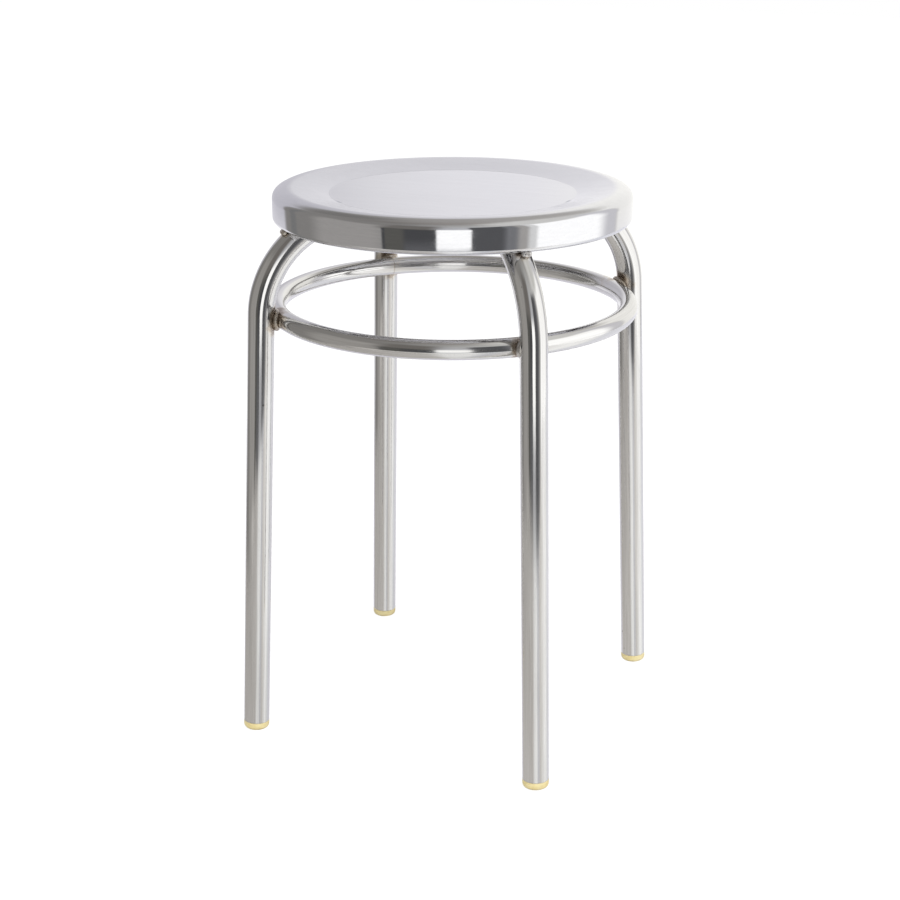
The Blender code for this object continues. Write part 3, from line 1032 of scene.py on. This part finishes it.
@dataclass
class Welds:
    """The weld beads that join the legs to the ring, to the hem, to the seat and to each other."""

    legs: Legs
    ring: SupportRing
    bead: float = 0.0024
    bite: float = 0.0009
    hub_bead: float = 0.0020
    rim_length: float = 0.009
    rim_offset: float = 0.002
    seat_length: float = 0.026
    seat_distance: float = 0.062
    hub_sweep: float = 78.0
    ripple: float = 0.012
    ripple_crest: float = 1.4
    end_round: float = 1.6
    end_least: float = 0.004
    ring_heat: float = 0.019
    rim_heat: float = 0.011
    rim_heat_drop: float = 0.002
    ring_pitch: float = 0.0022
    hub_pitch: float = 0.0022
    rim_pitch: float = 0.0024
    seat_pitch: float = 0.0026
    ring_steps: int = 120
    rim_steps: int = 40
    seat_steps: int = 60
    hub_steps: int = 80
    sides: int = 14
    ground_nodes: tuple[str, ...] = ("rim_weld_front_right", "ring_weld_front_right")

    @property
    def rise(self) -> float:
        """How far a bead's centre line stands off the pieces that it joins."""
        return self.bead - self.bite

    @property
    def heated(self) -> tuple[tuple[float, ...], ...]:
        """The places of the ring's and the rim's welds, with the reach of their heat."""
        at = (self.ring.radius + self.ring.tube_radius) / math.sqrt(2)
        hem, height = self.legs.seat.hem_centre
        hem /= math.sqrt(2)
        rim = (hem, hem, height - self.rim_heat_drop, self.rim_heat)
        return ((at, at, self.ring.height, self.ring_heat), rim)

    def run(
        self, points: Sequence[Vector], side: Vector, radius: float, pitch: float, ends: Ends
    ) -> BMesh:
        """A bead whose radius rises and falls with each pass of the torch.

        Args:
            points: The bead's centre line.
            side: A direction that is never along it.
            radius: The bead's radius.
            pitch: The length of one ripple.
            ends: How the bead ends, rounded and capped or joined.

        Returns:
            The bead.
        """
        joined, last = ends is Ends.JOINED, len(points) - 1
        made: list[Station] = []
        travelled = 0.0
        for i, point in enumerate(points):
            after = points[(i + 1) % len(points)] if joined or i < last else point
            before = points[i - 1] if joined or i else point
            if i:
                travelled += (point - points[i - 1]).length
            wave = abs(math.sin(math.pi * travelled / pitch))
            size = radius * (1 - self.ripple + self.ripple_crest * self.ripple * wave)
            if not joined:
                share = min(min(i, last - i) / last * 2 * self.end_round, 1.0)
                size *= math.sqrt(max(1 - (1 - share) ** 2, self.end_least))
            made.append(Station(point, after - before, side, size))
        return sweep(made, self.sides, ends)

    def saddle(self) -> BMesh:
        """The bead round the place where the ring lies against a leg along +X."""
        wide = 2 * math.sqrt(self.legs.radius * self.rise)
        high = 2 * math.sqrt(self.ring.tube_radius * self.rise)
        contact = self.ring.radius + self.ring.tube_radius + self.legs.clearance / 2
        loop = []
        for i in range(self.ring_steps):
            angle = 2 * math.pi * i / self.ring_steps
            x = contact + self.rise * math.cos(2 * angle)
            z = self.ring.height + high * math.sin(angle)
            loop.append(Vector((x, wide * math.cos(angle), z)))
        return self.run(loop, Vector((1, 0, 0)), self.bead, self.ring_pitch, Ends.JOINED)

    def rim_tack(self) -> BMesh:
        """The tack where a leg along +X passes the hem."""
        leg, hem = self.legs.bend_centre, self.legs.seat.hem_centre
        outer = math.sqrt(self.legs.radius**2 - self.rim_offset**2)
        a = self.legs.bend_radius + outer + self.rise
        b = self.legs.seat.hem_radius + self.rise
        dx, dz = hem[0] - leg[0], hem[1] - leg[1]
        span = math.hypot(dx, dz)
        along = (a**2 - b**2 + span**2) / (2 * span)
        aside = math.sqrt(a**2 - along**2)
        x = leg[0] + (along * dx + aside * dz) / span
        z = leg[1] + (along * dz - aside * dx) / span
        half, middle = self.rim_length / 2, self.rim_steps / 2
        steps = range(self.rim_steps + 1)
        line = [Vector((x, self.rim_offset + half * (i / middle - 1), z)) for i in steps]
        return self.run(line, Vector((1, 0, 0)), self.bead, self.rim_pitch, Ends.CAPPED)

    def stitch(self, side: int) -> BMesh:
        """The bead along one side of a run along +X.

        Args:
            side: 1 or -1, for its +Y or its -Y side.

        Returns:
            The bead.
        """
        y = side * 2 * math.sqrt(self.legs.radius * self.rise)
        z = self.legs.seat.floor - self.legs.seat.sheet - self.rise
        half, middle = self.seat_length / 2, self.seat_steps / 2
        steps = range(self.seat_steps + 1)
        line = [Vector((self.seat_distance + half * (i / middle - 1), y, z)) for i in steps]
        return self.run(line, Vector((0, 0, 1)), self.bead, self.seat_pitch, Ends.CAPPED)

    def hub(self) -> BMesh:
        """The crossed bead over the mitres under the seat."""
        spread = math.sqrt(2) * self.legs.radius
        both = bmesh.new()
        for degrees in (0, 90):
            line = []
            for i in range(self.hub_steps + 1):
                angle = math.radians(-self.hub_sweep + 2 * self.hub_sweep * i / self.hub_steps)
                z = self.legs.run_height - self.legs.radius * math.cos(angle)
                line.append(Vector((spread * math.sin(angle), 0.0, z)))
            across = Vector((0, 1, 0))
            bead = self.run(line, across, self.hub_bead, self.hub_pitch, Ends.CAPPED)
            part = bpy.data.meshes.new("hub_bead")
            rotate(bead, degrees).to_mesh(part)
            bead.free()
            both.from_mesh(part)
            bpy.data.meshes.remove(part)
        return both

    def build(self, material: Material, ground: Material) -> None:
        """Makes every bead.

        Args:
            material: The beads' material.
            ground: The material of the beads that were ground clean.
        """
        for corner, degrees in CORNERS.items():
            beads = {
                f"ring_weld_{corner}": self.saddle(),
                f"rim_weld_{corner}": self.rim_tack(),
                f"seat_weld_{corner}_1": self.stitch(1),
                f"seat_weld_{corner}_2": self.stitch(-1),
            }
            for node, bm in beads.items():
                finish = ground if node in self.ground_nodes else material
                make_piece(node, rotate(bm, degrees), finish, 80.0)
        make_piece("hub_weld", self.hub(), material, 80.0)


# The studio


class Tint(Enum):
    """The tints of the studio's surfaces."""

    PLAIN = (1.0, 1.0, 0.99)
    WARM = (1.035, 1.0, 0.955)
    TAN = (1.05, 0.98, 0.92)
    OLIVE = (1.02, 1.0, 0.92)
    CREAM = (1.01, 1.0, 0.965)
    COOL = (0.97, 0.98, 1.03)
    LAVENDER = (0.985, 0.97, 1.05)
    LILAC = (0.99, 0.98, 1.02)

    def seen(self, level: float) -> Color:
        """The light that a surface must send for polished steel to show it at a display level.

        Args:
            level: The display level, from 0 to 255, or above it for a clear white.

        Returns:
            The light, which allows for the share that the steel sends back.
        """
        share = level / 255
        linear = share / 12.92 if share <= 0.04045 else ((share + 0.055) / 1.055) ** 2.4
        red, green, blue = (linear * part / STEEL_SHARE for part in self.value)
        return (red, green, blue)


@dataclass(frozen=True)
class Panel:
    """A light or dark surface of the studio, as the seat's middle sees it.

    Attributes:
        left: The azimuth of its left edge, in degrees from the camera and rising to the right.
        right: The azimuth of its right edge.
        bottom: The elevation of its lower edge, in degrees.
        top: The elevation of its upper edge.
        level: The display level at which polished steel shows it.
        tint: Its tint.
        soft: Half the width of its soft sides, in degrees.
        fade: Half the height of its soft top and bottom.
    """

    left: float
    right: float
    bottom: float
    top: float
    level: float
    tint: Tint
    soft: float
    fade: float

    def place(self) -> dict[str, float]:
        """What the panel's node group gets."""
        names = ("Left", "Right", "Bottom", "Top", "Soft", "Fade")
        return {name: getattr(self, name.lower()) for name in names}


@dataclass
class Surround:
    """What the polished steel mirrors: a room with dark cloths, two windows and a table top.

    Attributes:
        turned: The camera's azimuth, from which the panels are counted.
        room: How far back a place of the wall is, from -1 to 1, with its level and tint.
        sides: How far right it is, with the share of light that it sends.
        panels: The panels on the walls. Each one covers those before it.
        table_top: The azimuth, level and tint of what the table top shows.
        table_edges: How far its sheets reach to the left and to the front.
        table_far: How far they reach to the right and to the back.
        table_depth: The gap between its sheets.
        table_shade: The share of light that passes it from one place across to another.
        floor_front: Where the walls show the table top too.
    """

    turned: float
    radius: float = 2.06
    height: float = 0.45
    room: Sequence[tuple[float, float, Tint]] = (
        (-1.0, 175, Tint.COOL), (-0.7, 166, Tint.PLAIN), (-0.27, 142, Tint.WARM), (0.0, 135, Tint.TAN),
        (0.42, 146, Tint.WARM), (0.7, 150, Tint.WARM), (0.755, 166, Tint.PLAIN), (0.8, 202, Tint.LILAC),
        (0.945, 208, Tint.LILAC), (1.0, 213, Tint.LILAC),
    )
    sides: Sequence[Point] = ((-0.35, 0.69), (0.0, 1.0), (0.12, 1.05), (0.5, 1.3))
    panels: Sequence[Panel] = (
        Panel(35, 132, 30, 75, 197, Tint.CREAM, 16.0, 9.0),
        Panel(-172, -125, -95, 32, 181, Tint.LAVENDER, 5.0, 7.0),
        Panel(121, 172, -95, 35, 229, Tint.CREAM, 5.0, 6.0),
        Panel(-200, -125, -95, -14, 224, Tint.LILAC, 6.0, 6.0),
        Panel(125, 200, -95, -14, 226, Tint.LILAC, 6.0, 6.0),
        Panel(-160, -127, 36, 60, 112, Tint.WARM, 6.0, 7.0),
        Panel(-127, -44, -95, 58, 122, Tint.WARM, 3.0, 14.0),
        Panel(-119, -112, -95, 30, 113, Tint.PLAIN, 2.0, 10.0),
        Panel(-92, -41.5, -95, 31, 145, Tint.WARM, 8.0, 7.0),
        Panel(-45, -10, 5, 50, 104, Tint.TAN, 7.0, 9.0),
        Panel(-41.5, -9, -95, 12, 84, Tint.OLIVE, 1.0, 5.0),
        Panel(-42.8, -40.8, -60, 9, 66, Tint.COOL, 0.5, 2.0),
        Panel(-29, -9, -95, 5, 70, Tint.COOL, 2.0, 6.0),
        Panel(-29, -9, -95, -14, 92, Tint.COOL, 2.0, 3.0),
        Panel(-9.5, 11, -95, -14, 156, Tint.COOL, 1.0, 2.0),
        Panel(10, 34, -95, 37, 82, Tint.COOL, 1.5, 4.0),
        Panel(32, 42, -95, 37, 115, Tint.COOL, 3.0, 5.0),
        Panel(40, 48, -95, 38, 154, Tint.WARM, 3.0, 6.0),
        Panel(46.5, 54, -95, 40, 206, Tint.PLAIN, 2.0, 6.0),
        Panel(-9.5, 11, -16.5, 4, 256, Tint.PLAIN, 0.8, 1.6),
        Panel(-9.5, 11, -8, 11, 256, Tint.PLAIN, 0.8, 8.0),
        Panel(98, 121, -95, 44, 194, Tint.LILAC, 3.0, 8.0),
        Panel(52, 98, -95, 34, 256, Tint.PLAIN, 1.5, 6.0),
        Panel(90, 105, -95, 34, 256, Tint.PLAIN, 7.0, 6.0),
    )
    table_top: Sequence[tuple[float, float, Tint]] = (
        (-180, 214, Tint.LAVENDER), (-137, 212, Tint.LAVENDER), (-127, 181, Tint.WARM),
        (-16, 190, Tint.WARM), (-5, 232, Tint.PLAIN), (12, 234, Tint.PLAIN), (22, 196, Tint.COOL),
        (40, 200, Tint.WARM), (76, 242, Tint.PLAIN), (92, 238, Tint.PLAIN), (110, 216, Tint.COOL),
        (180, 216, Tint.LAVENDER),
    )
    table_edges: Sequence[Point] = ((-0.63, 0.84), (-0.58, 0.78), (-0.52, 0.72))
    table_far: float = 1.3
    table_depth: float = 0.001
    table_shade: Sequence[float] = (-0.55, 0.45, 0.915, 1.0)
    floor_front: Panel = Panel(-62, 62, -95, -22.3, 0, Tint.PLAIN, 12.0, 1.2)

    def mirrored(self, name: str, bm: BMesh, material: Material, height: float) -> Object:
        """Puts a shape where only the steel's reflections see it, turned towards the camera.

        Args:
            name: The object's name.
            bm: The shape, which is freed.
            material: Its material.
            height: The height of its origin.

        Returns:
            The object.
        """
        made = mesh_object(name, bm, material)
        made.location = (0.0, 0.0, height)
        made.rotation_euler = (0.0, 0.0, math.radians(self.turned))
        for ray in ("camera", "diffuse", "shadow", "volume_scatter"):
            setattr(made, f"visible_{ray}", False)
        return made

    def build(self) -> list[Object]:
        """Makes the walls and the table top.

        Returns:
            Their objects.
        """
        bm = bmesh.new()
        bmesh.ops.create_uvsphere(bm, u_segments=96, v_segments=48, radius=self.radius)
        made = [self.mirrored("studio_surround", bm, self.walls(), self.height)]
        top = self.top()
        for i, (left, front) in enumerate(self.table_edges):
            bm = bmesh.new()
            bmesh.ops.create_grid(bm, x_segments=1, y_segments=1, size=1.0)
            width, depth = self.table_far - left, self.table_far + front
            middle = (left + width / 2, depth / 2 - front, 0.0)
            bmesh.ops.scale(bm, vec=(width / 2, depth / 2, 1.0), verts=bm.verts)
            bmesh.ops.translate(bm, vec=middle, verts=bm.verts)
            height = -self.table_depth * (i + 1)
            made.append(self.mirrored(f"studio_table_{i}", bm, top, height))
        return made

    def top(self) -> Material:
        """A clear sheet, by which the walls tell that a reflection looks through the table top."""
        made = bpy.data.materials.new("studio table")
        tree = cleared(made)
        shade = tree.fit(tree.split(tree.place())[0], *self.table_shade)
        gray = tree.node("CombineXYZ", shade, shade, shade).outputs[0]
        tree.node("OutputMaterial", tree.node("BsdfTransparent", gray).outputs[0])
        return made

    def panel_mask(self) -> NodeTree:
        """A node group that is 1 inside a panel and 0 outside it."""
        names = ("Azimuth", "Elevation", "Left", "Right", "Bottom", "Top", "Soft", "Fade")
        tree, given, out = new_group("panel", dict.fromkeys(names, 0.0), ("Mask",))
        across = ("Azimuth", "Left", "Right", "Soft")
        upright = ("Elevation", "Bottom", "Top", "Fade")
        mask: Value = 1.0
        for place, low, high, soft in (across, upright):
            for first, second in ((place, low), (high, place)):
                past = tree.math("SUBTRACT", given[first], given[second])
                inside = tree.fit(tree.math("DIVIDE", past, given[soft]), -1.0, 1.0)
                mask = tree.math("MULTIPLY", mask, inside)
        tree.feed(out, Mask=mask)
        return tree.tree

    def walls(self) -> Material:
        """The light of the walls, and of the table top where the reflection looks through it."""
        made = bpy.data.materials.new("studio surround")
        tree = cleared(made)
        x, y, z = tree.split(tree.vector("NORMALIZE", tree.place()))
        azimuth = tree.math("DEGREES", tree.math("ARCTAN2", x, tree.math("MULTIPLY", y, -1.0)))
        elevation = tree.math("DEGREES", tree.math("ARCSINE", z))
        deep = [((back + 1) / 2, tint.seen(level)) for back, level, tint in self.room]
        room = tree.ramp(tree.math("MULTIPLY_ADD", y, 0.5, 0.5), deep)
        wide = [((right + 1) / 2, (share, share, share)) for right, share in self.sides]
        shares = tree.ramp(tree.math("MULTIPLY_ADD", x, 0.5, 0.5), wide)
        light = tree.mix(1.0, room, shares, "MULTIPLY")
        group = self.panel_mask()
        aim = {"Azimuth": azimuth, "Elevation": elevation}
        for panel in self.panels:
            mask = tree.group(group, **aim, **panel.place())["Mask"]
            light = tree.mix(mask, light, panel.tint.seen(panel.level))
        stops = [((place + 180) / 360, tint.seen(level)) for place, level, tint in self.table_top]
        table = tree.ramp(tree.math("MULTIPLY_ADD", azimuth, 1 / 360, 0.5), stops)
        sheets = tree.node("LightPath").outputs["Transparent Depth"]
        passed = tree.math("DIVIDE", sheets, float(len(self.table_edges)))
        front = tree.group(group, **aim, **self.floor_front.place())["Mask"]
        through = tree.math("MAXIMUM", tree.math("MINIMUM", passed, 1.0), front)
        glow = tree.node("Emission", tree.mix(through, light, table), 1.0)
        tree.node("OutputMaterial", glow.outputs[0])
        return made


@dataclass
class Studio:
    """The camera, the plain white floor and backdrop, the soft light and the surround."""

    azimuth: float = 23.282
    yaw: float = 0.086
    distance: float = 1.44426
    height: float = 0.72971
    pitch: float = 18.984
    lens: float = 69.806
    sensor: float = 36.0
    floor_size: float = 14.0
    floor_height: float = -0.0002
    floor_color: Color = (0.8, 0.8, 0.8)
    paper_color: Color = (0.34, 0.34, 0.34)
    paper_glow: float = 0.82
    sky_strength: float = 0.62
    lamp_size: float = 2.4
    lamp_energy: float = 62.0
    lamp_place: Place = (1.2, -1.4, 2.6)
    lamp_aim_height: float = 0.3
    stage: list[Object] = field(default_factory=list)

    def place_camera(self) -> None:
        """Puts the camera where the photograph was taken from."""
        data = bpy.data.cameras.new("camera")
        data.lens = self.lens
        data.sensor_width = self.sensor
        data.sensor_fit = "HORIZONTAL"
        camera = bpy.data.objects.new("camera", data)
        turned = math.radians(self.azimuth)
        x, y = self.distance * math.sin(turned), -self.distance * math.cos(turned)
        camera.location = (x, y, self.height)
        yaw = math.radians(self.azimuth + self.yaw)
        camera.rotation_euler = (math.radians(90 - self.pitch), 0.0, yaw)
        bpy.context.scene.collection.objects.link(camera)
        bpy.context.scene.camera = camera

    def shown(self, tree: Tree) -> NodeSocket:
        """Whether the camera sees a place, straight, in a mirror or through glass.

        Args:
            tree: The tree that asks.

        Returns:
            1 or 0.
        """
        rays = tree.node("LightPath").outputs
        bent = tree.math("MAXIMUM", rays["Is Glossy Ray"], rays["Is Transmission Ray"])
        return tree.math("MAXIMUM", rays["Is Camera Ray"], bent)

    def lay_floor(self) -> None:
        """Lays a floor that shows white, keeps a soft shadow and is clear from below."""
        bm = bmesh.new()
        bmesh.ops.create_grid(bm, x_segments=1, y_segments=1, size=self.floor_size / 2)
        made = bpy.data.materials.new("studio floor")
        tree = cleared(made)
        paper = tree.node("BsdfDiffuse", self.paper_color).outputs[0]
        glow = tree.node("Emission", (1.0, 1.0, 1.0), self.paper_glow).outputs[0]
        white = tree.node("AddShader", paper, glow).outputs[0]
        plain = tree.node("BsdfDiffuse", self.floor_color).outputs[0]
        paved = tree.node("MixShader", self.shown(tree), plain, white).outputs[0]
        clear = tree.node("BsdfTransparent").outputs[0]
        below = tree.node("NewGeometry").outputs["Backfacing"]
        tree.node("OutputMaterial", tree.node("MixShader", below, paved, clear).outputs[0])
        floor = mesh_object("studio_floor", bm, made)
        floor.location = (0.0, 0.0, self.floor_height)
        floor.visible_glossy = False
        self.stage.append(floor)

    def light(self) -> None:
        """Sets the soft sky and one broad lamp overhead."""
        world = bpy.data.worlds.new("studio")
        tree = cleared(world)
        sky = tree.node("Background", (1.0, 1.0, 1.0), self.sky_strength).outputs[0]
        white = tree.node("Background", (1.0, 1.0, 1.0), 1.0).outputs[0]
        both = tree.node("MixShader", self.shown(tree), sky, white).outputs[0]
        tree.node("OutputWorld", both)
        bpy.context.scene.world = world
        data = bpy.data.lights.new("soft_lamp", "AREA")
        data.shape = "DISK"
        data.size = self.lamp_size
        data.energy = self.lamp_energy
        lamp = bpy.data.objects.new("soft_lamp", data)
        lamp.location = self.lamp_place
        aim = Vector(self.lamp_place) - Vector((0.0, 0.0, self.lamp_aim_height))
        lamp.rotation_euler = aim.to_track_quat("Z", "Y").to_euler()
        lamp.visible_glossy = False
        bpy.context.scene.collection.objects.link(lamp)

    def build(self) -> None:
        """Builds the studio."""
        self.place_camera()
        self.lay_floor()
        self.light()
        self.stage += Surround(turned=self.azimuth).build()
        bpy.context.scene.view_settings.view_transform = "Standard"


def main() -> None:
    """Builds the stool and its studio, and logs how many faces each piece of the stool has."""
    logging.basicConfig(level=logging.INFO, format="%(name)s: %(message)s")
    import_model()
    effects = Effects.made()
    seat = SeatPan()
    legs = Legs(seat)
    ring = SupportRing(legs)
    welds = Welds(legs, ring)
    tube = TubeSteel("polished leg tube", welds.heated)
    wheeled = {"dull": 0.06, "speck_size": 0.03, "across": 0.85}
    ring_tube = TubeSteel("polished ring tube", welds.heated[:1], **wheeled)
    bead = WeldSteel().material(effects)
    clean = {"bright": (0.74, 0.73, 0.72), "burnt": (0.44, 0.42, 0.40), "violet": (0.55, 0.56, 0.60)}
    seat.build(SeatSteel().material(effects))
    legs.build(tube.material(effects))
    ring.build(ring_tube.material(effects), bead)
    FootPlugs(legs).build(PlugPlastic().material(effects))
    welds.build(bead, WeldSteel("ground weld bead", **clean).material(effects))
    Studio().build()


if __name__ == "__main__":
    main()
